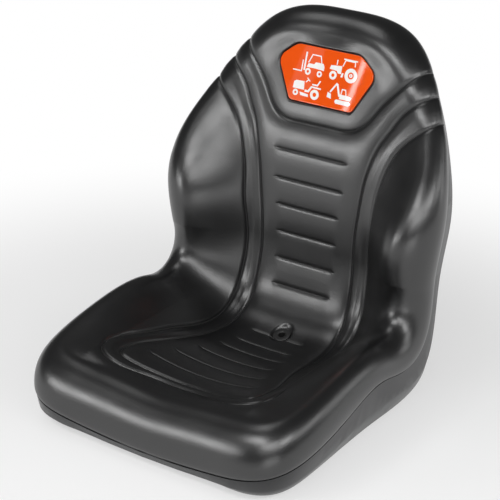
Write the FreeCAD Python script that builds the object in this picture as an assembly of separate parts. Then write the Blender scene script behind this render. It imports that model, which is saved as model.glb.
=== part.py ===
import FreeCAD, Part
import math
import os
from FreeCAD import Vector

# High-back bucket seat for a ride-on mower, in millimetres.
# +Z is up, the sitter faces -Y and X = 0 is the mirror plane.
# The origin is the middle of the four mounting holes, on the underside of their bosses.

os.makedirs("parts", exist_ok=True)

# Main sizes: width over the cushion, and its reach along the side profile
# from the start of the corner to the front edge and to the top edge
seat_width = 490.0
seat_reach = 256.5
back_reach = 586.5

# Mounting pattern under the pan
bolt_spacing_x = 285.75
bolt_spacing_y = 292.1
bolt_hole_radius = 4.5
boss_radius = 20.0
boss_height = 5.0
nut_across_flats = 13.0
nut_height = 8.0
nut_bore_radius = 4.0
nut_flange_radius = 9.0
nut_flange_height = 1.6
nut_pocket_clearance = 2.0

# Pressed pan
pan_thickness = 2.0
pan_wall_width = 40.0
pan_corner_radius = 75.0
back_depth = 58.0
seam_step = 1.0

# Side profile of the seat: a straight seat, a corner arc, a straight back,
# a shoulder arc and a straight headrest
profile_y = 59.65
profile_z = 77.3
seat_tilt = -7.0
corner_radius = 135.5
back_rise = 84.1
back_length = 117.5
shoulder_length = 69.5
head_rise = 72.6

# Middle panel, as heights over the profile: it climbs from the seat's dip to the back's crown,
# with a crease between them and raised sides on the seat
seat_dip = -6.8
back_crown = 6.2
crown_start = 60.0
crown_length = 260.0
crease_depth = 18.7
crease_at = 103.0
crease_width = 55.0
seat_hollow = 11.5
hollow_half_width = 100.0
hollow_limit = 2.2
hollow_fade_start = -60.0
hollow_fade_length = 260.0

# Outline of the cushion from the middle of the front edge to the middle of the top:
# share of the half width, share of the reach (of the seat below zero, of the back above it),
# width and height of the edge roll, height of its crest, angle at which the roll ends in the seam,
# share of the way to the crest that the middle panel takes
outline_stations = {
    "front edge": (0.0, -0.998, 44.0, 58.5, -7.0, 108.5, 0.55),
    "front quarter": (0.522, -1.0, 44.0, 58.0, -0.5, 109.5, 0.60),
    "front corner": (0.953, -0.823, 41.5, 52.5, 18.5, 108.5, 0.63),
    "thigh": (0.982, -0.374, 31.0, 45.5, 50.0, 114.0, 0.58),
    "hip": (0.969, 0.020, 32.0, 36.0, 64.0, 107.5, 0.49),
    "waist": (0.965, 0.186, 36.0, 41.0, 43.5, 121.5, 0.50),
    "low back": (0.957, 0.359, 40.0, 43.5, 61.0, 123.0, 0.52),
    "ribs": (1.0, 0.526, 45.5, 46.0, 68.0, 123.5, 0.48),
    "shoulder": (0.922, 0.675, 28.0, 27.0, 25.5, 125.0, 0.56),
    "neck": (0.753, 0.825, 37.0, 26.0, 6.0, 118.5, 0.70),
    "top corner": (0.522, 0.949, 40.0, 41.0, 10.0, 112.0, 0.75),
    "top edge": (0.0, 1.0, 42.0, 38.0, 5.0, 110.0, 0.75),
}
outline_middle = 150.0
outline_half_length = 400.0
outline_half_width = 240.0
hub_half_length = 250.0
spine_half_length = 240.0
spine_pull = 1.2
spine_spread = 50.0

# Moulded channels: half of each line in hundredths of the half width and of the reach,
# and where it runs out over the edge roll
channel_half_width = 4.5
channel_depth = 5.0
inner_channel = [(0, -60), (20, -61), (39, -63), (48, -62), (51, -50), (45, -24), (40, -2), (37, 9), (36, 17),
                 (35, 28), (35, 42), (37, 50), (39, 57), (42, 63), (47, 68), (52, 72), (58, 76)]
outer_channel = [(0, -66), (23, -67), (47, -73), (58, -69), (62, -58), (59, -43), (51, -11), (46, 8), (46, 17),
                 (46, 29), (45, 39), (47, 46), (48, 53), (51, 59), (56, 64), (61, 69)]
head_channel = [(0, 69.4), (12, 69.4), (22, 69.6), (29, 70.8), (36, 73.5), (43, 78), (51, 82)]
inner_exit = (0.767, 0.835)
outer_exit = (0.853, 0.776)
head_exit = (0.682, 0.892)

# Ribs across the back and the seat: place along the reach and half length, in the same hundredths
rib_half_width = 3.5
rib_depth = 3.5
back_ribs = [(24.9, 23), (31.5, 24), (38.9, 24), (46.4, 25), (53.7, 27.5), (61.6, 28.5)]
seat_ribs = [(11.9, 21.5), (6.6, 23), (1.4, 25), (-12.9, 30), (-29.2, 35.5), (-45.2, 42.5)]
groove_lift = 2.0

# Badge set into the headrest, its outline in the same hundredths
badge_outline = [(23.3, 89.2), (35.9, 84.9), (22.9, 74.5), (-22.9, 74.5), (-35.9, 84.9), (-23.3, 89.2)]
badge_corner_radius = 13.0
badge_thickness = 3.0
badge_edge_bevel = 0.8
badge_clearance = 1.2
badge_sink = 0.8

# Drain at the lowest point of the seat
drain_at = 80.0
drain_tilt = 19.0
drain_dish_radius = 16.0
drain_dish_depth = 4.5
drain_flange_radius = 14.0
drain_flange_height = 2.5
drain_sleeve_radius = 7.5
drain_bore_radius = 5.5
drain_clearance = 0.2
drain_end_height = 2.0


# Side profile

half_width = seat_width / 2
corner_length = corner_radius * math.radians(back_rise - seat_tilt)
shoulder_radius = shoulder_length / math.radians(back_rise - head_rise)
shoulder_start = corner_length + back_length
head_start = shoulder_start + shoulder_length


def profile(s):
    """Point and upward normal of the side profile at the distance s from the start of its corner."""
    low, mid, high = math.radians(seat_tilt), math.radians(back_rise), math.radians(head_rise)
    y, z = profile_y, profile_z
    if s < 0:
        return y + s * math.cos(low), z + s * math.sin(low), -math.sin(low), math.cos(low)
    turn = low + min(s, corner_length) / corner_radius
    y += corner_radius * (math.sin(turn) - math.sin(low))
    z -= corner_radius * (math.cos(turn) - math.cos(low))
    run = min(max(s - corner_length, 0), back_length)
    y += run * math.cos(mid)
    z += run * math.sin(mid)
    bend = min(max(s - shoulder_start, 0), shoulder_length)
    if bend > 0:
        turn = mid - bend / shoulder_radius
        y += shoulder_radius * (math.sin(mid) - math.sin(turn))
        z += shoulder_radius * (math.cos(turn) - math.cos(mid))
    rest = max(s - head_start, 0)
    y += rest * math.cos(high)
    z += rest * math.sin(high)
    return y, z, -math.sin(turn), math.cos(turn)


def fold(x, s, h):
    """Lay the flat point (x, s) on the profile, h above it."""
    y, z, normal_y, normal_z = profile(s)
    return Vector(x, y + h * normal_y, z + h * normal_z)


def along(share):
    """Distance along the profile for a share of the seat's reach, below zero, or of the back's."""
    return share * (seat_reach if share < 0 else back_reach)


def flat_points(hundredths):
    return [(x / 100 * half_width, along(s / 100)) for x, s in hundredths]


def ease(t):
    t = min(max(t, 0.0), 1.0)
    return t * t * (3 - 2 * t)


# Outline: smooth curves through the stations, over the angle round the middle of the outline

def station_angle(x, s):
    return math.atan2((s - outline_middle) / outline_half_length, x / outline_half_width)


stations = [(v[0] * half_width, along(v[1])) + v[2:] for v in outline_stations.values()]
station_angles = [station_angle(*v[:2]) for v in stations]


def mirror_station(station):
    return (-station[0],) + station[1:]


below = [mirror_station(v) for v in stations[6:0:-1]]
above = [mirror_station(v) for v in stations[-2:-8:-1]]
ring = below + stations + above
ring_angles = [-math.pi - a for a in station_angles[6:0:-1]] + station_angles
ring_angles += [math.pi - a for a in station_angles[-2:-8:-1]]


def spline(points, parameters):
    curve = Part.BSplineCurve()
    curve.interpolate(Points=points, Parameters=parameters)
    return curve


def station_curve(*columns):
    return spline([Vector(*[v[c] for c in columns]) for v in ring], ring_angles)


edge_curve = station_curve(0, 1, 2)
roll_curve = station_curve(3, 4, 5)
share_curve = station_curve(6, 0, 1)


class EdgeValues:
    """All outline values at one angle of the right half, and the row from there to the mirror plane."""

    def __init__(self, angle):
        edge, slope = edge_curve.getD1(angle)
        roll = roll_curve.value(angle)
        self.angle = angle
        self.x, self.s, self.roll_width = edge.x, edge.y, edge.z
        self.roll_height, self.crest, self.rim = roll.x, roll.y, math.radians(roll.z)
        self.share = share_curve.value(angle).x
        self.speed = math.hypot(slope.x, slope.y)
        hub = outline_middle + hub_half_length * math.sin(angle)
        reach = math.hypot(edge.x, edge.y - hub)
        slant = max((edge.x * slope.y - (edge.y - hub) * slope.x) / (reach * self.speed), 0.6)
        self.in_x, self.in_s = edge.x / reach / slant, (edge.y - hub) / reach / slant
        steep = math.tan(min(max(angle, -1.55), 1.55))
        self.spine = outline_middle + spine_half_length * math.tanh(spine_pull * steep) + spine_spread * angle
        self.rim_inset = self.roll_width * (1 - math.sin(self.rim))
        self.rim_height = self.crest - self.roll_height * (1 - math.cos(self.rim))

    def inset(self, distance):
        return self.x - distance * self.in_x, self.s - distance * self.in_s


# Cushion top: along each row from the mirror plane to the seam lie the middle panel,
# the bolster rising from it and the edge roll

def panel_height(x, s):
    height = seat_dip + (back_crown - seat_dip) * ease((s - crown_start) / crown_length)
    height -= crease_depth * math.exp(-((s - crease_at) / crease_width) ** 2)
    fade = 1 - ease((s - hollow_fade_start) / hollow_fade_length)
    return height + seat_hollow * fade * min((x / hollow_half_width) ** 2, hollow_limit)


def flat_top(edge, reach):
    """Flat point and height at a share of the way from the mirror plane to the crest."""
    crest_x, crest_s = edge.inset(edge.roll_width)
    x = reach * crest_x
    s = edge.spine + reach * (crest_s - edge.spine)
    rise = ease((reach - edge.share) / (1 - edge.share))
    return x, s, panel_height(x, s) * (1 - rise) + edge.crest * rise


def roll_top(edge, share, lift=0.0):
    """Flat point and height at a share of the turn of the edge roll."""
    turn = share * edge.rim
    x, s = edge.inset(edge.roll_width * (1 - math.sin(turn)) - lift * math.sin(turn))
    return x, s, edge.crest - edge.roll_height * (1 - math.cos(turn)) + lift * math.cos(turn)


def edge_through(x, s):
    """Outline values of the row that passes through the flat point (x, s)."""
    low, high = -math.pi / 2, math.pi / 2
    for _ in range(30):
        edge = EdgeValues((low + high) / 2)
        crest_x, crest_s = edge.inset(edge.roll_width)
        if crest_x * (s - edge.spine) > abs(x) * (crest_s - edge.spine):
            low = edge.angle
        else:
            high = edge.angle
    return edge


def on_cushion(x, s, lift):
    edge = edge_through(x, s)
    crest_x, crest_s = edge.inset(edge.roll_width)
    reach = math.hypot(x, s - edge.spine) / math.hypot(crest_x, crest_s - edge.spine)
    return fold(x, s, flat_top(edge, min(reach, 1.0))[2] + lift)


# Pan section: a level floor, a corner arc and a back that follows the profile

floor_z = boss_height
back_y, back_z, back_ny, back_nz = profile(corner_length)
back_line_y = back_y - back_depth * back_ny
back_line_z = back_z - back_depth * back_nz
corner_z = floor_z + pan_corner_radius
corner_y = back_line_y + (pan_corner_radius - (corner_z - back_line_z) * back_nz) / back_ny


def pan_depth(s):
    """Distance from the profile to the outside of the pan, square to the profile."""
    y, z, ny, nz = profile(s)
    if s >= corner_length:
        return back_depth
    to_floor = (z - floor_z) / max(nz, 0.01)
    if y - ny * to_floor <= corner_y:
        return to_floor
    slant = ny * back_ny + nz * back_nz
    to_back = ((y - back_line_y) * back_ny + (z - back_line_z) * back_nz) / slant
    hit_y, hit_z = y - ny * to_back - corner_y, z - nz * to_back - corner_z
    if hit_z * back_ny < hit_y * back_nz:
        return to_back
    away_y, away_z = y - corner_y, z - corner_z
    middle = away_y * ny + away_z * nz
    return middle + math.sqrt(middle ** 2 - away_y ** 2 - away_z ** 2 + pan_corner_radius ** 2)


def pan_section(inside):
    """Everything on the sitter's side of the pan's outside, or of its inside."""
    depth = back_depth - inside
    radius = pan_corner_radius - inside
    middle = math.radians(back_rise - 90) / 2 - math.pi / 4
    corner = [Vector(0, corner_y, corner_z - radius),
              Vector(0, corner_y + radius * math.cos(middle), corner_z + radius * math.sin(middle)),
              Vector(0, corner_y - radius * back_ny, corner_z - radius * back_nz)]
    shoulder = [fold(0, s, -depth) for s in (shoulder_start, (shoulder_start + head_start) / 2, head_start)]
    top = fold(0, back_reach * 1.4, -depth)
    front = Vector(0, -3 * seat_reach, floor_z + inside)
    over = Vector(0, front.y, top.z)
    sides = [Part.makeLine(front, corner[0]), Part.Arc(*corner).toShape(), Part.makeLine(corner[2], shoulder[0]),
             Part.Arc(*shoulder).toShape(), Part.makeLine(shoulder[2], top), Part.makeLine(top, over),
             Part.makeLine(over, front)]
    section = Part.Face(Part.Wire(sides))
    section.translate(Vector(-seat_width, 0, 0))
    return section.extrude(Vector(2 * seat_width, 0, 0))


# Faces: ruled strips between lines over the right half of the outline, closed by their mirror images

middle_angles = [(a + b) / 2 for a, b in zip(station_angles, station_angles[1:])]
row_angles = sorted(station_angles + middle_angles)
row_edges = [EdgeValues(angle) for angle in row_angles]


def line_over(point_function, *values):
    points = [fold(*point_function(edge, *values)) for edge in row_edges]
    points[0].x = points[-1].x = 0
    return spline(points, row_angles).toShape()


def strips(lines):
    return [Part.makeRuledSurface(a, b) for a, b in zip(lines, lines[1:])]


def sewn_solid(faces):
    shell = Part.Compound(faces)
    shell.sewShape(0.02)
    solid = Part.makeSolid(shell.Shells[0])
    if solid.Volume < 0:
        solid.reverse()
    return solid


def both_halves(half_faces):
    return sewn_solid(half_faces + [face.mirror(Vector(), Vector(1, 0, 0)) for face in half_faces])


def wall_point(edge, inside, degrees, past=0.0):
    """Point of the pan's wall, which turns from upright at the seam to level at the floor."""
    turn = math.radians(degrees)
    x, s = edge.inset(edge.rim_inset + seam_step + inside + (pan_wall_width - inside) * (1 - math.cos(turn)) + past)
    drop = (pan_depth(s) - inside + edge.rim_height) * math.sin(turn)
    return x, s, edge.rim_height - drop - past


def closing_point(edge, reach, height):
    """Point inside the cushion, on the row from the seam to the mirror plane."""
    x, s = edge.inset(edge.rim_inset + seam_step)
    return x * (1 - reach), s + (edge.spine - s) * reach, height


def below_floor_point(edge, past):
    return 0, edge.spine, -pan_depth(edge.spine) - past


panel_shares = (0, 0.4, 0.58, 0.72, 0.86)
roll_shares = (0, 0.25, 0.5, 0.75, 1)
wall_angles = (0, 30, 60)
wall_last_angle = 85
wall_past_floor = 12.0
pan_lid_height = -42.0


def wall_lines(inside):
    """Lines from the seam down the wall and on below the floor, where the pan's section cuts them off."""
    lines = [line_over(wall_point, inside, degrees) for degrees in wall_angles]
    lines.append(line_over(wall_point, inside, wall_last_angle, wall_past_floor))
    return lines + [line_over(below_floor_point, wall_past_floor)]


top_lines = [line_over(flat_top, share) for share in panel_shares]
top_lines += [line_over(roll_top, share) for share in roll_shares]
inner_lines = wall_lines(pan_thickness)
outer_lines = wall_lines(0.0)
lip = strips([outer_lines[0], inner_lines[0]])
cushion = both_halves(strips(top_lines + [outer_lines[0]]) + lip + strips(inner_lines))
cushion = cushion.common(pan_section(pan_thickness))
inside_lines = [inner_lines[0], line_over(closing_point, 0.4, pan_lid_height),
                line_over(closing_point, 1, pan_lid_height)]
pan = both_halves(strips(outer_lines) + lip + strips(inside_lines))
pan = pan.common(pan_section(0.0)).cut(cushion)


# Channels and ribs: sharp grooves between three lines, one at the bottom and one above each side

def groove(sections):
    """Solid through sections of three points: left side, bottom and right side."""
    parameters = list(range(len(sections)))
    left, bottom, right = [spline(list(points), parameters).toShape() for points in zip(*sections)]
    ends = [Part.Face(Part.makePolygon(list(section) + [section[0]])) for section in (sections[0], sections[-1])]
    return sewn_solid(strips([bottom, left]) + strips([left, right]) + strips([right, bottom]) + ends)


def side_reach(half_width_at_surface, depth):
    """How far out a groove's side is when it has risen to the lift above the surface."""
    return half_width_at_surface * (depth + groove_lift) / depth


def mirrored_section(section):
    return [Vector(-p.x, p.y, p.z) for p in section]


def channel(line, exit_share, steps=64):
    """Groove along a line and its mirror image, running out over the edge roll on both sides."""
    reach = side_reach(channel_half_width, channel_depth)
    exit_edge = EdgeValues(station_angle(exit_share[0] * half_width, along(exit_share[1])))
    points = flat_points(line) + [exit_edge.inset(exit_edge.roll_width)]
    whole = [(-x, s) for x, s in points[:0:-1]] + points
    path = Part.BSplineCurve()
    path.interpolate(Points=[Vector(x, s, 0) for x, s in whole])
    sections = []
    for i in range(steps + 1):
        place, heading = path.getD1(path.FirstParameter + (path.LastParameter - path.FirstParameter) * i / steps)
        heading.normalize()
        side_x, side_s = -heading.y * reach, heading.x * reach
        sections.append([on_cushion(place.x + side_x, place.y + side_s, groove_lift),
                         on_cushion(place.x, place.y, -channel_depth),
                         on_cushion(place.x - side_x, place.y - side_s, groove_lift)])
    turned = reach / exit_edge.speed
    upper, lower = EdgeValues(exit_edge.angle + turned), EdgeValues(exit_edge.angle - turned)
    over = [[fold(*roll_top(upper, share, groove_lift)), fold(*roll_top(exit_edge, share, -channel_depth)),
             fold(*roll_top(lower, share, groove_lift))] for share in (0.25, 0.45, 0.65, 0.85, 1.0)]
    return groove([mirrored_section(section) for section in over[::-1]] + sections + over)


def rib(at, half_length):
    """Groove straight across the middle panel, rising out of it at both ends."""
    reach = side_reach(rib_half_width, rib_depth)
    s = along(at / 100)
    sections = []
    for share in (-1, -0.92, -0.75, -0.4, 0, 0.4, 0.75, 0.92, 1):
        x = share * half_length / 100 * half_width
        rise = (rib_depth + groove_lift / 2) * ease((abs(share) - 0.7) / 0.3)
        sections.append([on_cushion(x, s + reach, groove_lift), on_cushion(x, s, rise - rib_depth),
                         on_cushion(x, s - reach, groove_lift)])
    return groove(sections)


channels = [channel(inner_channel, inner_exit), channel(outer_channel, outer_exit), channel(head_channel, head_exit)]
ribs = [rib(*values) for values in back_ribs + seat_ribs]


# Badge and its pocket: a rounded outline square to the headrest

def rounded_face(points, radius, height):
    corners = [fold(x, s, height) for x, s in points]
    arcs, sides = [], []
    for i, corner in enumerate(corners):
        before = (corners[i - 1] - corner).normalize()
        after = (corners[(i + 1) % len(corners)] - corner).normalize()
        half = before.getAngle(after) / 2
        reach = radius / math.tan(half)
        centre = corner + (before + after).normalize() * (radius / math.sin(half))
        middle = centre + (corner - centre).normalize() * radius
        arcs.append((corner + before * reach, middle, corner + after * reach))
    for i, arc in enumerate(arcs):
        sides.append(Part.Arc(*arc).toShape())
        sides.append(Part.makeLine(arc[2], arcs[(i + 1) % len(arcs)][0]))
    return Part.Face(Part.Wire(sides))


badge_points = flat_points(badge_outline)
badge_base = back_crown - badge_sink - badge_thickness
head_y, head_z, head_ny, head_nz = profile(badge_points[0][1])
head_normal = Vector(0, head_ny, head_nz)
badge = rounded_face(badge_points, badge_corner_radius, badge_base).extrude(head_normal * badge_thickness)
front_face = max(badge.Faces, key=lambda f: f.CenterOfMass.dot(head_normal))
badge_pocket = rounded_face(badge_points, badge_corner_radius, badge_base).extrude(head_normal * back_depth)
badge_pocket = badge_pocket.makeOffsetShape(badge_clearance, 0.01, join=2)
badge_pocket.translate(head_normal * badge_clearance)
badge = badge.makeChamfer(badge_edge_bevel, front_face.Edges)


# Drain: a flanged sleeve from the dish in the seat to just below the floor of the pan

drain_axis = Vector(0, -math.sin(math.radians(drain_tilt)), math.cos(math.radians(drain_tilt)))
drain_seat = on_cushion(0, drain_at, 0) - drain_axis * drain_dish_depth
drain_run = 2 * back_depth


def drain_rod(radius, start, end):
    return Part.makeCylinder(radius, end - start, drain_seat + drain_axis * start, drain_axis)


ground = Part.makeBox(seat_width, seat_width, drain_run)
ground.translate(Vector(-seat_width / 2, drain_seat.y - seat_width / 2, drain_end_height - drain_run))
sleeve = drain_rod(drain_sleeve_radius, -drain_run, drain_flange_height)
sleeve = sleeve.fuse(drain_rod(drain_flange_radius, 0, drain_flange_height)).removeSplitter()
drain_sleeve = sleeve.cut(drain_rod(drain_bore_radius, -drain_run, drain_run)).cut(ground)
drain_dish = drain_rod(drain_dish_radius, 0, back_depth)
drain_hole = drain_rod(drain_sleeve_radius + drain_clearance, -drain_run, drain_dish_depth)


# Mounting bosses pressed into the pan, their nuts, and room for these under the cushion

bolt_places = [Vector(sx * bolt_spacing_x / 2, sy * bolt_spacing_y / 2, 0) for sx in (-1, 1) for sy in (-1, 1)]
pan_floor = floor_z + pan_thickness
nut_top = pan_thickness + nut_height


def upright(radius, bottom, top, place):
    return Part.makeCylinder(radius, top - bottom, place + Vector(0, 0, bottom))


def nut_at(place):
    corner = nut_across_flats / 2 / math.cos(math.pi / 6)
    turns = [k * math.pi / 3 for k in range(7)]
    hexagon = [place + Vector(corner * math.cos(a), corner * math.sin(a), pan_thickness) for a in turns]
    body = Part.Face(Part.makePolygon(hexagon)).extrude(Vector(0, 0, nut_height))
    flange = upright(nut_flange_radius, pan_thickness, pan_thickness + nut_flange_height, place)
    return body.fuse(flange).cut(upright(nut_bore_radius, 0, 2 * nut_top, place)).removeSplitter()


bosses = [upright(boss_radius, 0, pan_floor, place) for place in bolt_places]
dimples = [upright(boss_radius - pan_thickness, pan_thickness, 2 * pan_floor, place) for place in bolt_places]
bolt_holes = [upright(bolt_hole_radius, -boss_height, pan_floor, place) for place in bolt_places]
nut_rooms = [upright(nut_flange_radius + nut_pocket_clearance, 0, nut_top + nut_pocket_clearance, place)
             for place in bolt_places]
pan = pan.fuse(bosses).cut(dimples + bolt_holes + [drain_hole])
cushion = cushion.cut(channels + ribs + nut_rooms + [badge_pocket, drain_dish, drain_hole])
mounting_nuts = Part.Compound([nut_at(place) for place in bolt_places])

for node, shape in (("cushion", cushion), ("seat_pan", pan), ("badge", badge), ("drain_sleeve", drain_sleeve),
                    ("mounting_nuts", mounting_nuts)):
    print(node, len(shape.Solids), "solids, valid:", shape.isValid())
    shape.exportStep("parts/%s.step" % node)
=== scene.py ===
import math

import bmesh
import bpy
import numpy as np
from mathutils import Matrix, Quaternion, Vector


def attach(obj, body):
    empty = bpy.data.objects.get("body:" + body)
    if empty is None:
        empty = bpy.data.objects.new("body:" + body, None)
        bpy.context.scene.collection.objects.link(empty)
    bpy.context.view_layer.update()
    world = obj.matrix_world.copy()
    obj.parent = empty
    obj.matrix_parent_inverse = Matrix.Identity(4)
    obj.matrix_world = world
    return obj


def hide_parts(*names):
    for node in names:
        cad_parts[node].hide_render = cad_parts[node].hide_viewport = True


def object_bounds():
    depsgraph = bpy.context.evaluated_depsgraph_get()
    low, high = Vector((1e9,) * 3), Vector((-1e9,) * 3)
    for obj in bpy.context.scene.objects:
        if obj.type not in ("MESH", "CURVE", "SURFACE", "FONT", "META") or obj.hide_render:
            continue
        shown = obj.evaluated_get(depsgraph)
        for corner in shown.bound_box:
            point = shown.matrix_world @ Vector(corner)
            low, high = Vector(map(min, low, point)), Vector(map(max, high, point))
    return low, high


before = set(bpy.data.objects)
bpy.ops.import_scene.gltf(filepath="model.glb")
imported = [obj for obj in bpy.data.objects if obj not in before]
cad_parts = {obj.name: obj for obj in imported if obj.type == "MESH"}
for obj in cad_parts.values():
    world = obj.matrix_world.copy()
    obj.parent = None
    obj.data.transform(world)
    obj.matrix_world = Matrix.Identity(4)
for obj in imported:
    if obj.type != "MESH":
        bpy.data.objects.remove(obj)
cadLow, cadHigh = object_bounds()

mm = 0.001
farAway = 1e9
print("frame loaded:", sorted(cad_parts))


# sockets as values, so that node maths reads as plain expressions

class Value:
    def __init__(self, nodes, socket):
        self.nodes = nodes
        self.socket = socket

    def math(self, operation, first, second=0.0):
        return self.nodes.node("ShaderNodeMath", {"operation": operation}, {0: first, 1: second})

    def __add__(self, other):
        return self.math("ADD", self, other)

    def __radd__(self, other):
        return self.math("ADD", other, self)

    def __sub__(self, other):
        return self.math("SUBTRACT", self, other)

    def __rsub__(self, other):
        return self.math("SUBTRACT", other, self)

    def __mul__(self, other):
        return self.math("MULTIPLY", self, other)

    def __rmul__(self, other):
        return self.math("MULTIPLY", other, self)

    def fall(self, width):
        # 1 where the value is 0, falling off over the width on both sides
        return self.math("EXPONENT", self * self * (-1 / width ** 2))

    def most(self, other):
        return self.math("MAXIMUM", self, other)


class Nodes:
    def __init__(self, tree):
        self.tree = tree

    def node(self, kind, settings=None, sockets=None, output=0):
        made = self.tree.nodes.new(kind)
        for key, value in (settings or {}).items():
            setattr(made, key, value)
        for key, value in (sockets or {}).items():
            self.join(value, made.inputs[key])
        return Value(self, made.outputs[output]) if made.outputs else None

    def join(self, value, socket):
        # values are linked, one or a list of them, and anything else is written into the socket
        for each in value if isinstance(value, list) else [value]:
            if isinstance(each, Value):
                self.tree.links.new(each.socket, socket)
            else:
                socket.default_value = each

    def background(self):
        # 1 for a ray that sees the background straight, mirrored or through glass
        straight = self.node("ShaderNodeLightPath", output="Is Camera Ray")
        mirrored = self.node("ShaderNodeLightPath", output="Is Glossy Ray")
        through = self.node("ShaderNodeLightPath", output="Is Transmission Ray")
        return straight.most(mirrored).most(through)


class Finish(Nodes):
    def __init__(self, name, color, roughness, **constants):
        self.material = bpy.data.materials.new(name)
        self.material.use_nodes = True
        super().__init__(self.material.node_tree)
        self.shader = self.tree.nodes["Principled BSDF"]
        self.feed("Base Color", (*color, 1))
        self.feed("Roughness", roughness)
        for key, value in constants.items():
            self.feed(key.replace("_", " "), value)
        self.coords = self.node("ShaderNodeTexCoord", output="Object")

    def feed(self, name, value):
        self.join(value, self.shader.inputs[name])

    def noise(self, scale, detail=2.0):
        sockets = {"Vector": self.coords, "Scale": scale, "Detail": detail}
        return self.node("ShaderNodeTexNoise", sockets=sockets, output="Fac")

    def attribute(self, name):
        return self.node("ShaderNodeAttribute", {"attribute_name": name}, output="Fac")

    def blend(self, share, first, second):
        # the Mix node's colour sockets are 6 and 7, and its colour comes out at 2
        sockets = {0: share, 6: (*first, 1), 7: (*second, 1)}
        return self.node("ShaderNodeMix", {"data_type": "RGBA"}, sockets, output=2)

    def bump(self, heightInMm):
        sockets = {"Height": heightInMm, "Strength": 1.0, "Distance": mm}
        self.feed("Normal", self.node("ShaderNodeBump", sockets=sockets))


# helpers

def addPiece(name, verts, faces, material):
    mesh = bpy.data.meshes.new(name)
    mesh.from_pydata([tuple(v) for v in verts], [], [tuple(f) for f in faces])
    mesh.materials.append(material)
    piece = bpy.data.objects.new(name, mesh)
    bpy.context.scene.collection.objects.link(piece)
    return piece


def weld(piece, within, outward=True):
    bm = bmesh.new()
    bm.from_mesh(piece.data)
    bmesh.ops.remove_doubles(bm, verts=bm.verts, dist=within)
    if outward:
        bmesh.ops.recalc_face_normals(bm, faces=bm.faces)
    bm.to_mesh(piece.data)
    bm.free()


def shadeSmooth(piece, sharpAbove=None):
    piece.data.polygons.foreach_set("use_smooth", [True] * len(piece.data.polygons))
    if sharpAbove:
        piece.data.set_sharp_from_angle(angle=math.radians(sharpAbove))


def place(piece, node):
    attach(piece, "root")
    if node:
        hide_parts(node)


def ease(t):
    t = np.clip(t, 0, 1)
    return t * t * (3 - 2 * t)


def smoothThrough(knots, values):
    # natural cubic spline through the rows of values; returns a function of the knot parameter
    knots, values = np.asarray(knots, float), np.asarray(values, float)
    gap = np.diff(knots)
    size = len(knots)
    system, right = np.eye(size), np.zeros_like(values)
    for i in range(1, size - 1):
        system[i, i - 1:i + 2] = gap[i - 1], 2 * (gap[i - 1] + gap[i]), gap[i]
        rise = np.diff(values[i - 1:i + 2], axis=0)
        right[i] = 6 * (rise[1] / gap[i] - rise[0] / gap[i - 1])
    bend = np.linalg.solve(system, right)

    def at(t):
        t = np.asarray(t, float)
        k = np.clip(np.searchsorted(knots, t) - 1, 0, size - 2)
        g = gap[k][:, None]
        low = (knots[k + 1] - t)[:, None]
        high = (t - knots[k])[:, None]
        return ((bend[k] * low ** 3 + bend[k + 1] * high ** 3) / (6 * g)
                + (values[k] / g - bend[k] * g / 6) * low
                + (values[k + 1] / g - bend[k + 1] * g / 6) * high)
    return at


def evenly(weights, count):
    # count + 1 places from 0 to 1, closer together where the weights are larger
    total = np.concatenate([[0], np.cumsum((weights[1:] + weights[:-1]) / 2)])
    return np.interp(np.linspace(0, total[-1], count + 1), total, np.linspace(0, 1, len(weights)))


def toLine(x, s, points):
    # distance to a line of points, above zero on its left
    best = np.full(x.shape, farAway)
    side = np.ones(x.shape)
    for a, b in zip(points, points[1:]):
        step = b - a
        share = np.clip(((x - a[0]) * step[0] + (s - a[1]) * step[1]) / (step @ step), 0, 1)
        away = np.hypot(x - a[0] - share * step[0], s - a[1] - share * step[1])
        nearer = away < best
        best = np.where(nearer, away, best)
        side = np.where(nearer, np.sign(step[0] * (s - a[1]) - step[1] * (x - a[0])), side)
    return best * side


# side profile: straight seat, corner arc, straight back, shoulder arc, straight headrest (mm, degrees)

sideProfile = {
    "startY": 59.65, "startZ": 77.3,
    "seatTilt": -7.0, "cornerRadius": 135.5, "backRise": 84.1, "backLength": 117.5,
    "shoulderLength": 69.5, "headRise": 72.6,
}


def foldUp(x, s, h):
    # places in the plan, and heights over it, to points in the frame
    p = sideProfile
    low, mid, high = (math.radians(p[key]) for key in ("seatTilt", "backRise", "headRise"))
    cornerRadius = p["cornerRadius"]
    cornerLength = cornerRadius * (mid - low)
    shoulderRadius = p["shoulderLength"] / (mid - high)
    seat = np.minimum(s, 0)
    corner = np.clip(s, 0, cornerLength)
    back = np.clip(s - cornerLength, 0, p["backLength"])
    shoulder = np.clip(s - cornerLength - p["backLength"], 0, p["shoulderLength"])
    head = np.maximum(s - cornerLength - p["backLength"] - p["shoulderLength"], 0)
    turn = low + corner / cornerRadius
    lean = mid - shoulder / shoulderRadius
    y = p["startY"] + seat * math.cos(low) + back * math.cos(mid) + head * math.cos(high)
    y = y + cornerRadius * (np.sin(turn) - math.sin(low)) + shoulderRadius * (math.sin(mid) - np.sin(lean))
    z = p["startZ"] + seat * math.sin(low) + back * math.sin(mid) + head * math.sin(high)
    z = z + cornerRadius * (math.cos(low) - np.cos(turn)) + shoulderRadius * (np.cos(lean) - math.cos(mid))
    slope = np.where(shoulder > 0, lean, turn)
    return np.stack([x, y - h * np.sin(slope), z + h * np.cos(slope)], -1) * mm


# vinyl: fine grain; painted shade makes it a little darker inside the pressed lines, which are also duller

vinylLook = {
    # the second colour is painted shade for the pressed lines and the gap round the badge
    "color": (0.006, 0.006, 0.0063), "paintedLineShade": (0.0015, 0.0015, 0.0015),
    "roughness": 0.31, "specular": 0.95,
    "patchScale": 38.0, "patchSpread": 0.10,   # slow changes of the roughness
    "grainSize": 1.9, "grainDepth": 0.07,      # mm
    "lineWidth": 0.95, "lineDepth": 1.0,       # mm, on top of the shape itself
    "lineDulling": 0.4,
}


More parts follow.
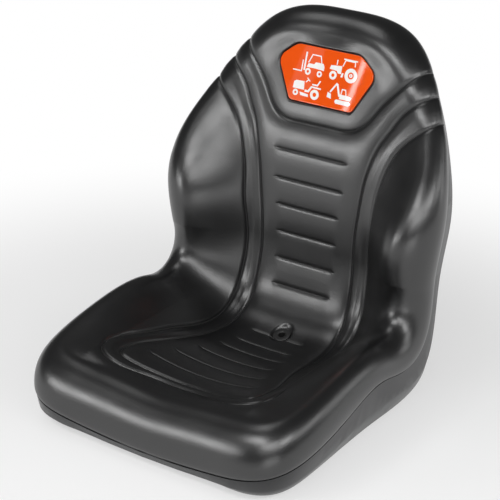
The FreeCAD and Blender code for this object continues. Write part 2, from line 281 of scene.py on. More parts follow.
def makeVinyl():
    look = vinylLook
    finish = Finish("grainedVinyl", look["color"], look["roughness"], Specular_IOR_Level=look["specular"])
    cells = finish.node("ShaderNodeTexVoronoi", {"feature": "F1"},
                        {"Vector": finish.coords, "Scale": 1 / (look["grainSize"] * mm)}, output="Distance")
    patches = finish.noise(look["patchScale"], detail=3.0)
    lines = finish.attribute("channelLine").fall(look["lineWidth"])
    lines = lines.most(finish.attribute("ribLine").fall(look["lineWidth"]) * finish.attribute("ribShare"))
    # the gap round the badge joins the mask, so painted shade darkens it there as well as the bump
    lines = lines.most(finish.attribute("badgeGap").fall(look["lineWidth"]))
    finish.bump(cells * look["grainDepth"] - lines * look["lineDepth"])
    # painted shade: the base colour darkens towards the line shade inside the pressed lines and the badge
    # gap
    finish.feed("Base Color", finish.blend(lines, look["color"], look["paintedLineShade"]))
    dull = (patches - 0.5) * look["patchSpread"] + lines * look["lineDulling"]
    finish.feed("Roughness", look["roughness"] + dull)
    return finish.material


vinyl = makeVinyl()


# cushion: stations from the middle of the front edge to the middle of the top edge, as half width,
# place along the profile, roll width, roll height, crest height, roll angle, share of the middle panel

cushionForm = {
    "stations": [
        (0.0, -256.0, 44.0, 58.5, -7.0, 108.5, 0.55),
        (128.0, -256.5, 44.0, 58.0, -0.5, 109.5, 0.60),
        (233.5, -211.0, 41.5, 52.5, 18.5, 108.5, 0.63),
        (240.5, -96.0, 31.0, 45.5, 50.0, 114.0, 0.58),
        (237.5, 12.0, 32.0, 36.0, 64.0, 107.5, 0.49),
        (236.5, 109.0, 36.0, 41.0, 43.5, 121.5, 0.50),
        (234.5, 210.5, 40.0, 43.5, 61.0, 123.0, 0.52),
        (245.0, 308.5, 45.5, 46.0, 68.0, 123.5, 0.48),
        (226.0, 396.0, 28.0, 27.0, 25.5, 125.0, 0.56),
        (184.5, 484.0, 37.0, 26.0, 6.0, 118.5, 0.70),
        (128.0, 556.5, 40.0, 41.0, 10.0, 112.0, 0.75),
        (0.0, 586.5, 42.0, 38.0, 5.0, 110.0, 0.75),
    ],
    "middle": 150.0, "halfLength": 400.0, "halfWidth": 240.0,      # the oval that the stations' angles go by
    "hub": 250.0, "leastSlant": 0.6,                               # where the roll's rays come from
    "spine": 240.0, "spinePull": 1.2, "spineSpread": 50.0, "steepest": 1.55,
    "seatDip": -6.8, "backCrown": 6.2, "crownFrom": 60.0, "crownOver": 260.0,
    "crease": 18.7, "creaseAt": 103.0, "creaseWidth": 55.0,
    "seatHollow": 11.5, "hollowReach": 100.0, "hollowMost": 2.2, "hollowFrom": -60.0, "hollowOver": 260.0,
    "seamTuck": 2.0, "tuckFrom": 0.93,                             # the skin turns in towards the pan
    "underside": -42.0, "lid": (0.02, 0.08, 0.2, 0.4, 0.7, 1.0), "lidSlope": 2.5,
    "rows": 400, "panelSteps": 128, "rollSteps": 26, "rollPower": 0.9,
    "edgeWeight": 0.45, "bandExtra": 0.9, "bandAt": 0.52, "bandWidth": 0.2,  # finer where the channels run
}

channelForm = {
    "inner": [(0, -154), (50, -156), (96, -161), (118, -159), (126, -128), (111, -62), (97, -5),
              (91, 52), (88, 98), (87, 130), (86, 167), (85, 206), (86, 246), (91, 295), (96, 335),
              (104, 371), (114, 400), (127, 424), (141, 448), (188, 490), (200, 501)],
    "outer": [(0, -170), (56, -173), (116, -186), (142, -176), (152, -148), (144, -110), (126, -28),
              (113, 45), (113, 100), (113, 148), (112, 170), (111, 200), (111, 231), (114, 268),
              (118, 312), (126, 348), (136, 377), (150, 402), (209, 455), (222, 467)],
    "head": [(0, 407), (30, 407), (55, 408), (72, 415), (88, 431), (105, 457), (124, 479),
             (167, 523), (180, 536)],
    "lineDepth": 2.4, "lineWidth": 2.3,        # the pressed line itself
    "swellDepth": 3.0, "swellWidth": 11.0,     # the foam rounding off towards it
    "edgeShare": 0.7, "edgeFrom": 0.8, "edgeOver": 0.35,           # of the depth over the edge roll
    "seamShare": 0.3, "seamFrom": 13 / 18,                         # of the depth down at the seam
    "curveSteps": 240,
}

ribForm = {
    "lines": [(-116, 104), (-75, 87), (-33, 73), (8, 62), (39, 56.5), (70, 52.5),
              (146, 56.5), (184.5, 58), (228, 58), (272, 61), (315, 67.5), (361, 70)],
    "lineDepth": 1.3, "lineWidth": 2.0, "swellDepth": 1.1, "swellWidth": 9.0,
    "fade": 14.0,                              # at the ends
}

swellPower = 1.3                               # below 2 the swell is tighter close to its line
hiddenMark = 99.0                              # distance to any line where the skin is out of sight

badgeForm = {
    "outline": [(57, 523), (88, 498), (56, 437), (-56, 437), (-88, 498), (-57, 523)],
    "cornerRadius": [22.0, 17.0, 9.0, 9.0, 17.0, 22.0],
    "cornerSteps": 12,
    "thickness": 3.0, "sink": 0.8, "edgeRound": 0.9, "flatBorder": 0.4,
    "clearance": 1.2, "pocketDepth": 4.4, "pocketLip": 2.0, "lipInside": 0.6,
}

drainForm = {
    "at": 80.0, "tilt": 19.0, "dishRadius": 16.0, "dishDepth": 4.5, "dishLip": 5.0,
    "wellRadius": 8.5, "wellDepth": 8.0,
    "flangeRadius": 14.0, "flangeHeight": 2.5, "sleeveRadius": 7.5, "boreRadius": 5.5, "edgeRound": 1.1,
    "endHeight": 2.0, "turnSteps": 64,
}


def outlineRows(angles):
    f = cushionForm
    stations = np.array(f["stations"])
    turns = np.arctan2((stations[:, 1] - f["middle"]) / f["halfLength"], stations[:, 0] / f["halfWidth"])
    mirrored = stations.copy()
    mirrored[:, 0] *= -1
    past = 6                                   # stations of the other half beyond each end of the spline
    before, after = slice(past, 0, -1), slice(-2, -2 - past, -1)
    knots = np.concatenate([-math.pi - turns[before], turns, math.pi - turns[after]])
    curve = smoothThrough(knots, np.concatenate([mirrored[before], stations, mirrored[after]]))
    step = 1e-4
    rows = curve(angles)
    slope = (curve(angles + step) - curve(angles - step)) / (2 * step)
    x, s = rows[:, 0], rows[:, 1]
    hub = f["middle"] + f["hub"] * np.sin(angles)
    reach = np.hypot(x, s - hub)
    length = np.hypot(slope[:, 0], slope[:, 1])
    slant = (x * slope[:, 1] - (s - hub) * slope[:, 0]) / (reach * length)
    slant = np.maximum(slant, f["leastSlant"])
    steep = np.tan(np.clip(angles, -f["steepest"], f["steepest"]))
    return {
        "x": x, "s": s, "rollWidth": rows[:, 2], "rollHeight": rows[:, 3], "crest": rows[:, 4],
        "rim": np.radians(rows[:, 5]), "share": rows[:, 6],
        "inX": x / reach / slant, "inS": (s - hub) / reach / slant,
        "spine": f["middle"] + f["spine"] * np.tanh(f["spinePull"] * steep) + f["spineSpread"] * angles,
    }


def panelHeight(x, s):
    f = cushionForm
    crown = ease((s - f["crownFrom"]) / f["crownOver"])
    crease = f["crease"] * np.exp(-((s - f["creaseAt"]) / f["creaseWidth"]) ** 2)
    hollow = np.minimum((x / f["hollowReach"]) ** 2, f["hollowMost"])
    hollow = f["seatHollow"] * hollow * (1 - ease((s - f["hollowFrom"]) / f["hollowOver"]))
    return f["seatDip"] + (f["backCrown"] - f["seatDip"]) * crown - crease + hollow


def gridPlaces():
    # angles of the rows and shares of the columns, both closer together where there is more to show
    f = cushionForm
    trialAngles = np.linspace(-math.pi / 2, math.pi / 2, 2001)
    trial = outlineRows(trialAngles)
    edge = np.hypot(np.gradient(trial["x"]), np.gradient(trial["s"]))
    weights = np.abs(np.gradient(trial["spine"])) + f["edgeWeight"] * edge
    angles = (evenly(weights, f["rows"]) - 0.5) * math.pi
    trialShares = np.linspace(0, 1, 401)
    weights = 1 + f["bandExtra"] * np.exp(-((trialShares - f["bandAt"]) / f["bandWidth"]) ** 2)
    return angles, evenly(weights, f["panelSteps"])


def cushionPlan():
    # half of the cushion as a grid of plan places and heights; the last columns close it inside the pan
    f = cushionForm
    angles, shares = gridPlaces()
    e = {key: values[:, None] for key, values in outlineRows(angles).items()}
    reach = shares[None, :]
    crestX = e["x"] - e["rollWidth"] * e["inX"]
    crestS = e["s"] - e["rollWidth"] * e["inS"]
    x = reach * crestX
    s = e["spine"] + reach * (crestS - e["spine"])
    rise = ease((reach - e["share"]) / (1 - e["share"]))
    h = panelHeight(x, s) * (1 - rise) + e["crest"] * rise
    turn = np.linspace(0, 1, f["rollSteps"] + 1)[None, 1:] ** f["rollPower"] * e["rim"]
    tuck = f["seamTuck"] * ease((turn / e["rim"] - f["tuckFrom"]) / (1 - f["tuckFrom"])) ** 2
    inset = e["rollWidth"] * (1 - np.sin(turn)) + tuck
    x = np.hstack([x, e["x"] - inset * e["inX"]])
    s = np.hstack([s, e["s"] - inset * e["inS"]])
    h = np.hstack([h, e["crest"] - e["rollHeight"] * (1 - np.cos(turn))])
    top = x.shape[1]
    lid = np.array(f["lid"])[None, :]
    rimX, rimS, rimH = x[:, -1:], s[:, -1:], h[:, -1:]
    x = np.hstack([x, rimX * (1 - lid)])
    s = np.hstack([s, rimS + (e["spine"] - rimS) * lid])
    h = np.hstack([h, rimH + (f["underside"] - rimH) * ease(lid * f["lidSlope"])])
    x[0], x[-1] = 0, 0
    return x, s, h, top


def pressedDepth(distance, form):
    away = np.abs(distance)
    return (form["lineDepth"] * np.exp(-(away / form["lineWidth"]) ** 2)
            + form["swellDepth"] * np.exp(-(away / form["swellWidth"]) ** swellPower))


def channelDistance(x, s):
    # distance to the nearest channel; the sign changes across each of them, so it stays even in between
    nearest = np.full(x.shape, farAway)
    side = np.ones(x.shape)
    for key in ("inner", "outer", "head"):
        points = np.array(channelForm[key], float)
        knots = np.concatenate([[0], np.cumsum(np.hypot(*np.diff(points, axis=0).T))])
        curve = smoothThrough(knots, points)(np.linspace(0, knots[-1], channelForm["curveSteps"]))
        away = toLine(x, s, curve)
        nearest = np.minimum(nearest, np.abs(away))
        side = side * np.where(away < 0, -1, 1)
    return nearest * side


def channelShare(columns):
    # of the channels' depth, for each column: less over the edge roll, little at the seam
    f, panelSteps = channelForm, cushionForm["panelSteps"]
    column = np.arange(columns)
    over = ease((column / panelSteps - f["edgeFrom"]) / f["edgeOver"])
    seam = ease(((column - panelSteps) / cushionForm["rollSteps"] - f["seamFrom"]) / (1 - f["seamFrom"]))
    return (1 - (1 - f["edgeShare"]) * over) * (1 - (1 - f["seamShare"]) * seam)


def ribDistance(x, s):
    lines = np.array(ribForm["lines"])
    nearest = np.argmin(np.abs(s[..., None] - lines[:, 0]), axis=-1)
    away = (s - lines[nearest, 0]) * np.where(nearest % 2 == 0, 1, -1)
    share = 1 - ease((np.abs(x) - lines[nearest, 1] + ribForm["fade"]) / ribForm["fade"])
    return away, share


def unit(vector):
    return vector / np.linalg.norm(vector)


def shrinkOutline(points, distance):
    # moves every side of a clockwise outline inwards
    made = []
    for before, here, after in zip(np.roll(points, 1, axis=0), points, np.roll(points, -1, axis=0)):
        u, v = unit(here - before), unit(after - here)
        inU, inV = np.array([u[1], -u[0]]), np.array([v[1], -v[0]])
        made.append(here + distance * (inU + inV) / (1 + inU @ inV))
    return np.array(made)


def badgeOutline(inset):
    # the badge's rounded outline, clockwise, moved in by the inset
    f = badgeForm
    corners = shrinkOutline(np.array(f["outline"], float), inset)
    neighbours = zip(np.roll(corners, 1, axis=0), corners, np.roll(corners, -1, axis=0))
    made = []
    for (before, here, after), fullRadius in zip(neighbours, f["cornerRadius"]):
        radius = fullRadius - inset
        u, v = unit(before - here), unit(after - here)
        half = math.acos(np.clip(u @ v, -1, 1)) / 2
        centre = here + unit(u + v) * radius / math.sin(half)
        start = here + u * radius / math.tan(half) - centre
        end = here + v * radius / math.tan(half) - centre
        sweep = math.pi - 2 * half
        for share in np.linspace(0, 1, f["cornerSteps"] + 1):
            arm = start * math.sin((1 - share) * sweep) + end * math.sin(share * sweep)
            made.append(centre + unit(arm) * radius)
    return np.array(made)


def pocketDepth(gap):
    f = badgeForm
    return f["pocketDepth"] * (1 - ease((gap - f["clearance"] + f["lipInside"]) / f["pocketLip"]))


def dishDepth(x, s):
    f = drainForm
    away = np.hypot(x, s - f["at"])
    dish = f["dishDepth"] * (1 - ease((away - f["dishRadius"] + f["dishLip"] / 2) / f["dishLip"]))
    return dish, f["wellDepth"] * (away < f["wellRadius"])


def outwardNormals(x, verts):
    normal = np.cross(np.gradient(verts, axis=1), np.gradient(verts, axis=0))
    normal = normal / np.maximum(np.linalg.norm(normal, axis=-1, keepdims=True), 1e-12)
    normal[:, :, 0] *= np.where(np.abs(x) < 1e-6, 0, 1)        # the middle stays in the mirror plane
    return normal


def makeCushion():
    x, s, h, top = cushionPlan()
    rows, columns = x.shape
    index = np.arange(rows * columns).reshape(rows, columns)
    faces = np.stack([index[:-1, :-1], index[:-1, 1:], index[1:, 1:], index[1:, :-1]], -1).reshape(-1, 4)
    channel = channelDistance(x, s)
    rib, ribShare = ribDistance(x, s)
    outline = badgeOutline(0.0)
    gap = toLine(x, s, np.vstack([outline, outline[:1]]))
    dish, well = dishDepth(x, s)
    depth = pressedDepth(channel, channelForm) * channelShare(columns)[None, :]
    for other in (pressedDepth(rib, ribForm) * ribShare, pocketDepth(gap), dish):
        depth = np.maximum(depth, other)
    depth = depth + well
    depth[:, top:] = 0
    verts = foldUp(x, s, h)
    verts = (verts - outwardNormals(x, verts) * (depth * mm)[:, :, None]).reshape(-1, 3)
    both = np.vstack([verts, verts * np.array([-1, 1, 1])])
    piece = addPiece("cushionVinyl", both, np.vstack([faces, faces[:, ::-1] + len(verts)]), vinyl)
    # distances that drive the vinyl's line bump and its painted line shade
    marks = {"channelLine": channel, "ribLine": rib, "badgeGap": gap - badgeForm["clearance"] / 2}
    for values in marks.values():
        values[:, top:] = hiddenMark
    marks["ribShare"] = ribShare
    for name, values in marks.items():
        layer = piece.data.attributes.new(name, "FLOAT", "POINT")
        layer.data.foreach_set("value", np.tile(values.reshape(-1), 2).astype(np.float32))
    weld(piece, within=0.01 * mm)
    shadeSmooth(piece)
    print("cushion:", len(piece.data.polygons), "faces")
    return piece


cushion = makeCushion()
place(cushion, "cushion")


# pan: the pressed shell, smoothed over its bends

panLook = {
    "color": (0.014, 0.014, 0.015), "roughness": 0.33, "grainScale": 900.0, "grainDepth": 0.03,
    "sharpAbove": 40.0,
}


def makePan():
    look = panLook
    finish = Finish("blackPanPaint", look["color"], look["roughness"])
    finish.bump(finish.noise(look["grainScale"]) * look["grainDepth"])
    piece = addPiece("panShell", [], [], finish.material)
    piece.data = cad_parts["seat_pan"].data.copy()
    piece.data.materials.clear()
    piece.data.materials.append(finish.material)
    weld(piece, within=0.002 * mm, outward=False)
    shadeSmooth(piece, look["sharpAbove"])
    even = piece.modifiers.new("evenShading", "WEIGHTED_NORMAL")
    even.mode = "FACE_AREA"
    even.keep_sharp = True
    evaluated = piece.evaluated_get(bpy.context.evaluated_depsgraph_get())
    piece.data = bpy.data.meshes.new_from_object(evaluated)
    piece.modifiers.remove(even)
    return piece


place(makePan(), "seat_pan")
print("pan placed")


# drain sleeve: turned round its tilted axis, its end cut level below the pan

sleeveLook = {"color": (0.016, 0.016, 0.016), "roughness": 0.30, "sharpAbove": 40.0}


def sleeveProfile():
    # radius and height over the dish; no height means down to the level end
    f = drainForm
    top, r = f["flangeHeight"], f["edgeRound"]
    arc = [(r * math.sin(turn), top - r + r * math.cos(turn)) for turn in np.radians([0, 22, 45, 67, 90])]
    inner = [(f["boreRadius"] + r - out, up) for out, up in arc[::-1]]
    outer = [(f["flangeRadius"] - r + out, up) for out, up in arc]
    under = [(f["flangeRadius"], 0.0), (f["sleeveRadius"], 0.0), (f["sleeveRadius"], None)]
    return [(f["boreRadius"], None)] + inner + outer + under


def makeSleeve():
    f = drainForm
    finish = Finish("sleevePlastic", sleeveLook["color"], sleeveLook["roughness"])
    tilt = math.radians(f["tilt"])
    axis = np.array([0, -math.sin(tilt), math.cos(tilt)])
    across = np.array([0, math.cos(tilt), math.sin(tilt)])
    middle, at = np.zeros(1), np.array([f["at"]])
    seat = foldUp(middle, at, panelHeight(middle, at))[0] / mm - axis * f["dishDepth"]
    profile, steps = sleeveProfile(), f["turnSteps"]
    size = len(profile)
    verts, faces = [], []
    for k in range(steps):
        angle = 2 * math.pi * k / steps
        out = np.array([math.cos(angle), 0, 0]) + across * math.sin(angle)
        for radius, up in profile:
            foot = seat + out * radius
            along = (f["endHeight"] - foot[2]) / axis[2] if up is None else up
            verts.append((foot + axis * along) * mm)
        for i in range(size):
            j, n = (i + 1) % size, (k + 1) % steps
            faces.append((k * size + i, k * size + j, n * size + j, n * size + i))
    piece = addPiece("drainSleeve", verts, faces, finish.material)
    weld(piece, within=0.0001 * mm)
    shadeSmooth(piece, sleeveLook["sharpAbove"])
    return piece


place(makeSleeve(), "drain_sleeve")
print("drain sleeve turned")


# mounting nuts: one flanged nut on the four corners of the bolt pattern

nutForm = {
    "sizes": {
        "Spacing X": 285.75, "Spacing Y": 292.1, "Base": 2.0,
        "Corner Radius": 13.0 / math.sqrt(3), "Height": 8.0, "Flange Radius": 9.0, "Flange Height": 1.6,
        "Bore Radius": 4.0, "Cut Length": 100.0,
    },
    "nutSides": 6, "flangeSides": 48, "boreSides": 40,
    "color": (0.62, 0.62, 0.60), "roughness": 0.34, "sharpAbove": 30.0,
}


def makeNutTree(material):
    tree = bpy.data.node_groups.new("nutPattern", "GeometryNodeTree")
    for name in nutForm["sizes"]:
        tree.interface.new_socket(name=name, in_out="INPUT", socket_type="NodeSocketFloat")
    tree.interface.new_socket(name="Geometry", in_out="OUTPUT", socket_type="NodeSocketGeometry")
    nodes = Nodes(tree)

    def size(name):
        return nodes.node("NodeGroupInput", output=name)

    def raised(geometry, height):
        up = nodes.node("ShaderNodeCombineXYZ", sockets={"Z": height})
        return nodes.node("GeometryNodeTransform", sockets={"Geometry": geometry, "Translation": up})

    def cylinder(sides, radius, length):
        sockets = {"Vertices": sides, "Radius": size(radius), "Depth": size(length)}
        return nodes.node("GeometryNodeMeshCylinder", sockets=sockets)

    def combined(operation, sockets):
        return nodes.node("GeometryNodeMeshBoolean", {"operation": operation, "solver": "EXACT"}, sockets,
                          output="Mesh")

    def standing(sides, radius, length):
        return raised(cylinder(sides, radius, length), size(length) * 0.5)

    hexagon = standing(nutForm["nutSides"], "Corner Radius", "Height")
    flange = standing(nutForm["flangeSides"], "Flange Radius", "Flange Height")
    bore = cylinder(nutForm["boreSides"], "Bore Radius", "Cut Length")
    body = combined("UNION", {"Mesh 2": [hexagon, flange]})
    nut = combined("DIFFERENCE", {"Mesh 1": body, "Mesh 2": bore})
    corners = nodes.node("GeometryNodeMeshGrid", sockets={
        "Size X": size("Spacing X"), "Size Y": size("Spacing Y"), "Vertices X": 2, "Vertices Y": 2})
    nuts = nodes.node("GeometryNodeInstanceOnPoints", sockets={
        "Points": corners, "Instance": raised(nut, size("Base"))})
    nuts = nodes.node("GeometryNodeRealizeInstances", sockets={"Geometry": nuts})
    nuts = nodes.node("GeometryNodeSetMaterial", sockets={"Geometry": nuts, "Material": material})
    nodes.node("NodeGroupOutput", sockets={"Geometry": nuts})
    return tree


def makeNuts():
    zinc = Finish("zincPlate", nutForm["color"], nutForm["roughness"], Metallic=1.0).material
    piece = addPiece("mountingNuts", [], [], zinc)
    tree = makeNutTree(zinc)
    pattern = piece.modifiers.new("nutPattern", "NODES")
    pattern.node_group = tree
    for item in tree.interface.items_tree:
        if item.in_out == "INPUT":
            pattern[item.identifier] = nutForm["sizes"][item.name] * mm
    evaluated = piece.evaluated_get(bpy.context.evaluated_depsgraph_get())
    made = bpy.data.meshes.new_from_object(evaluated)
    piece.modifiers.remove(pattern)
    piece.data = made
    weld(piece, within=0.0001 * mm)
    shadeSmooth(piece, nutForm["sharpAbove"])
    print("nuts:", len(made.polygons), "faces")
    return piece


place(makeNuts(), "mounting_nuts")


# badge: gloss plate with a soft edge, and four plain machine signs printed on it

badgeLook = {
    "color": (0.80, 0.085, 0.004), "print": (0.86, 0.84, 0.82), "roughness": 0.03, "specular": 0.5,
    "printRoot": 0.4, "printHeight": 0.04, "printStep": 0.006,     # mm, a step higher for each shape
    "ringSteps": 32, "sharpAbove": 30.0,
}

# each sign: its middle on the badge (mm) and its shapes round that
machineSigns = {
    "forklift": ((-28, 496), [
        ("stroke", [(-30, -13), (-14.5, -13), (-14.5, 4)], 1.9),
        ("stroke", [(-10, -11), (-10, 17)], 2.8),
        ("area", [(-6.5, -5.5), (-4, 0.5), (6, 0.5), (8.5, 4), (22.5, 4), (25, -1), (25, -6.5), (10, -5.5)]),
        ("stroke", [(-4.5, 1.5), (1, 14.5), (16, 14.5), (19, 4)], 1.7),
        ("ring", (-3, -12), 5.2, 2.1),
        ("ring", (18, -12.5), 4.7, 1.9),
    ]),
    "tractor": ((31.5, 496.5), [
        ("ring", (13.5, -5.5), 11.0, 5.2),
        ("ring", (13.5, -5.5), 3.0, 1.0),
        ("ring", (-17.5, -10), 6.6, 2.7),
        ("area", [(-25, -1.5), (-23.5, 4.5), (-4, 6), (-4, -6), (-9.5, -6), (-12, -2.5)]),
        ("stroke", [(-3, 6), (0.5, 15.5), (17.5, 15.5), (18.5, 8.5)], 1.7),
        ("stroke", [(-3, 17), (21.5, 17)], 2.0),
        ("stroke", [(-13.5, 6.5), (-13.5, 14)], 1.8),
        ("area", [(-2.5, -4), (0.5, -4), (-0.5, -10.5), (-4, -10.5)]),
    ]),
    "mower": ((-27.5, 459), [
        ("area", [(-25, -3.5), (-24.5, 6.5), (-20.5, 9), (-6, 9.5), (-4.5, -3.5)]),
        ("ring", (-19, -9.5), 4.9, 1.9),
        ("ring", (15.5, -7.5), 7.8, 3.2),
        ("area", [(-11.5, -7.5), (4, -9), (5, -13), (-9.5, -12.5)]),
        ("area", [(-3, -6), (4.5, -6), (9, 2), (25, 1.5), (25, 4), (7, 4.5), (2.5, -3), (-3, -2.5)]),
        ("stroke", [(-3.5, 8.5), (1, 13)], 1.5),
        ("stroke", [(-2, 15.5), (4, 11)], 1.7),
        ("stroke", [(8.5, 7), (18, 7), (22, 14.5)], 2.4),
    ]),
    "excavator": ((31, 461), [
        ("area", [(-6, -13), (-4, -15.5), (19, -15.5), (22, -13), (22, -11), (19, -9), (-4, -9), (-6, -11)]),
        ("area", [(1, -7.5), (20, -7.5), (22.5, -2), (13, -0.5), (1, -0.5)]),
        ("stroke", [(3, -0.5), (4, 7.5), (10, 7.5), (12, -0.5)], 1.7),
        ("stroke", [(0.5, -4), (-6, 14)], 3.2),
        ("stroke", [(-6.5, 15), (-16.5, 0)], 2.7),
        ("area", [(-20.5, -0.5), (-14.5, -2.5), (-13, -10), (-21, -8.5)]),
    ]),
}


def strokeOutline(points, width):
    points = np.array(points, float)
    step = np.diff(points, axis=0)
    step = step / np.linalg.norm(step, axis=1)[:, None]
    side = np.stack([-step[:, 1], step[:, 0]], -1)
    offsets = [side[0]]
    for a, b in zip(side, side[1:]):
        offsets.append((a + b) / (1 + a @ b))
    offsets = np.array(offsets + [side[-1]]) * width / 2
    return np.vstack([points - offsets, (points + offsets)[::-1]])


def makeSigns(material, height):
    verts, faces = [], []

    def prism(loops, level):
        # one closed outline, or an outer and an inner one of as many points
        low = height - badgeLook["printRoot"]
        high = height + badgeLook["printHeight"] + badgeLook["printStep"] * level
        first, size = len(verts), len(loops[0])
        for up in (low, high):
            for loop in loops:
                verts.extend(foldUp(loop[:, 0], loop[:, 1], np.full(size, up)))
        layer = size * len(loops)
        for n in range(len(loops)):
            for i in range(size):
                a, b = first + n * size + i, first + n * size + (i + 1) % size
                faces.append((a, b, b + layer, a + layer))
        for base in (first, first + layer):
            if len(loops) == 1:
                faces.append(tuple(range(base, base + size)))
            else:
                for i in range(size):
                    j = (i + 1) % size
                    faces.append((base + i, base + j, base + size + j, base + size + i))

    around = np.linspace(0, 2 * math.pi, badgeLook["ringSteps"] + 1)[:-1]
    circle = np.stack([np.cos(around), np.sin(around)], -1)
    for middle, shapes in machineSigns.values():
        for level, (kind, where, *sizes) in enumerate(shapes):
            if kind == "ring":
                centre = np.array(where, float) + middle
                prism([centre + circle * radius for radius in sizes], level)
            else:
                outline = strokeOutline(where, *sizes) if kind == "stroke" else np.array(where, float)
                prism([outline + middle], level)
    piece = addPiece("badgeSigns", verts, faces, material)
    weld(piece, within=0.00001 * mm)
    return piece


def makeBadge(material):
    f = badgeForm
    base = cushionForm["backCrown"] - f["sink"] - f["thickness"]
    edge, top = f["edgeRound"], f["thickness"]
    layers = [(0.0, 0.0)]
    for turn in np.radians([0, 22.5, 45, 67.5, 90]):
        layers.append((edge * (1 - math.cos(turn)), top - edge * (1 - math.sin(turn))))
    layers.append((edge + f["flatBorder"], top))               # keeps the face flat up to its edge
    outlines = [(badgeOutline(inset), up) for inset, up in layers]
    count, last = len(outlines[0][0]), len(outlines) - 1
    verts = np.vstack([foldUp(o[:, 0], o[:, 1], np.full(count, base + up)) for o, up in outlines])
    faces = [tuple(range(count)), tuple(range(last * count, (last + 1) * count))]
    for k in range(last):
        for i in range(count):
            j = (i + 1) % count
            faces.append((k * count + i, k * count + j, (k + 1) * count + j, (k + 1) * count + i))
    piece = addPiece("badgePlate", verts, faces, material)
    weld(piece, within=0.0001 * mm)
    shadeSmooth(piece, badgeLook["sharpAbove"])
    return piece


def badgeFinish(name, color):
    return Finish(name, color, badgeLook["roughness"], Specular_IOR_Level=badgeLook["specular"]).material


badgeGloss = badgeFinish("badgeGloss", badgeLook["color"])
badgeInk = badgeFinish("badgeInk", badgeLook["print"])
place(makeBadge(badgeGloss), "badge")
place(makeSigns(badgeInk, cushionForm["backCrown"] - badgeForm["sink"]), None)
print("badge placed")


# floor, lights, world and camera

stageForm = {
    "floorColor": (0.92, 0.92, 0.92), "floorRoughness": 0.8, "floorSize": 120.0,
    "paperRadius": (0.45, 1.1), "paperLift": 0.55,
    "horizon": 1.0, "sky": 0.09, "horizonHeight": (0.0, 0.03),
    "middle": (0.0, 0.10, 0.28), "badgeMiddle": (0.036, 0.255, 0.458),
    # what it faces, degrees turned from the front and raised, distance, width, height, watts, lean
    "lights": [
        ("middle", -9.0, 42.0, 2.0, 1.05, 0.38, 11.5, 0.0),
        ("middle", 28.0, 30.0, 2.0, 1.15, 0.55, 11.0, 0.0),
        ("middle", 68.0, 30.0, 2.0, 1.10, 0.44, 10.5, 0.0),
        ("middle", 104.0, 22.0, 2.0, 0.90, 0.44, 4.0, 0.0),
        ("middle", -33.5, 8.0, 1.96, 0.80, 0.30, 7.5, 0.0),
        ("middle", 39.0, -6.5, 1.42, 0.70, 0.20, 1.2, 0.0),
        ("middle", 126.0, 10.0, 2.05, 0.60, 0.60, 2.5, 0.0),
        ("middle", -82.0, 69.0, 1.93, 0.90, 0.60, 4.0, 0.0),
        ("badgeMiddle", -30.65, 11.35, 1.89, 0.012, 0.30, 0.13, -2.7),
        ("badgeMiddle", -34.7, 11.35, 1.89, 0.05, 0.30, 0.04, -2.7),
    ],
    "cameraAt": (1.3879, -1.8535, 1.2863), "cameraHeading": (-0.5365, 0.7411, -0.4035),
    "lens": 126.0, "sensor": 36.0,
}


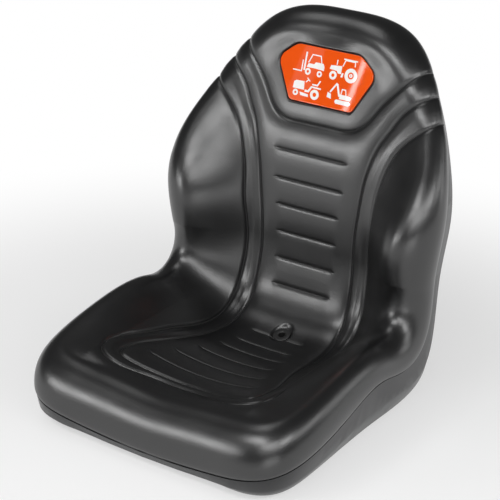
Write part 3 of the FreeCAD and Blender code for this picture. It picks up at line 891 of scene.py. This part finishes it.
def makeFloor():
    # pale paper near the part, running out into plain white
    half = stageForm["floorSize"] / 2
    start, end = stageForm["paperRadius"]
    finish = Finish("palePaper", stageForm["floorColor"], stageForm["floorRoughness"])
    away = finish.node("ShaderNodeVectorMath", {"operation": "LENGTH"}, {0: finish.coords}, output="Value")
    share = finish.node("ShaderNodeMapRange", {"interpolation_type": "SMOOTHSTEP"},
                        {"Value": away, "From Min": start, "From Max": end,
                         "To Min": stageForm["paperLift"]})
    paper = Value(finish, finish.shader.outputs[0])
    white = finish.node("ShaderNodeEmission", sockets={"Color": (1, 1, 1, 1), "Strength": 1.0})
    mixed = finish.node("ShaderNodeMixShader", sockets={0: share * finish.background(), 1: paper, 2: white})
    finish.join(mixed, finish.tree.nodes["Material Output"].inputs["Surface"])
    corners = [(-half, -half, 0), (half, -half, 0), (half, half, 0), (-half, half, 0)]
    floor = addPiece("floor", corners, [(0, 1, 2, 3)], finish.material)
    floor.location.z = cadLow[2]


def makeLights():
    for k, (facing, turned, raised, distance, width, height, watts, lean) in enumerate(stageForm["lights"]):
        lamp = bpy.data.lights.new("softbox%d" % k, "AREA")
        lamp.shape = "RECTANGLE"
        lamp.size = width
        lamp.size_y = height
        lamp.energy = watts
        holder = bpy.data.objects.new("softbox%d" % k, lamp)
        turn, rise = math.radians(turned), math.radians(raised)
        away = Vector((math.sin(turn) * math.cos(rise), -math.cos(turn) * math.cos(rise), math.sin(rise)))
        holder.location = Vector(stageForm[facing]) + distance * away
        aim = (-away).to_track_quat("-Z", "Y") @ Quaternion((0, 0, 1), math.radians(lean))
        holder.rotation_euler = aim.to_euler()
        holder.visible_camera = False
        bpy.context.scene.collection.objects.link(holder)


def makeWorld():
    # white at the horizon, dim above it
    world = bpy.data.worlds.new("studio")
    bpy.context.scene.world = world
    world.use_nodes = True
    nodes = Nodes(world.node_tree)
    direction = nodes.node("ShaderNodeTexCoord", output="Generated")
    upward = nodes.node("ShaderNodeSeparateXYZ", sockets={0: direction}, output="Z")
    low, high = stageForm["horizonHeight"]
    strength = nodes.node("ShaderNodeMapRange", {"interpolation_type": "SMOOTHSTEP"},
                          {"Value": upward, "From Min": low, "From Max": high,
                           "To Min": stageForm["horizon"], "To Max": stageForm["sky"]})
    sky = world.node_tree.nodes["Background"].inputs
    nodes.join((1, 1, 1, 1), sky["Color"])
    nodes.join(strength, sky["Strength"])


def makeCamera():
    lens = bpy.data.cameras.new("photoCamera")
    lens.lens = stageForm["lens"]
    lens.sensor_width = stageForm["sensor"]
    lens.sensor_fit = "HORIZONTAL"
    camera = bpy.data.objects.new("photoCamera", lens)
    camera.location = stageForm["cameraAt"]
    camera.rotation_euler = Vector(stageForm["cameraHeading"]).to_track_quat("-Z", "Y").to_euler()
    bpy.context.scene.collection.objects.link(camera)
    bpy.context.scene.camera = camera


makeFloor()
makeLights()
makeWorld()
makeCamera()
bpy.context.scene.view_settings.view_transform = "Standard"
print("stage set")
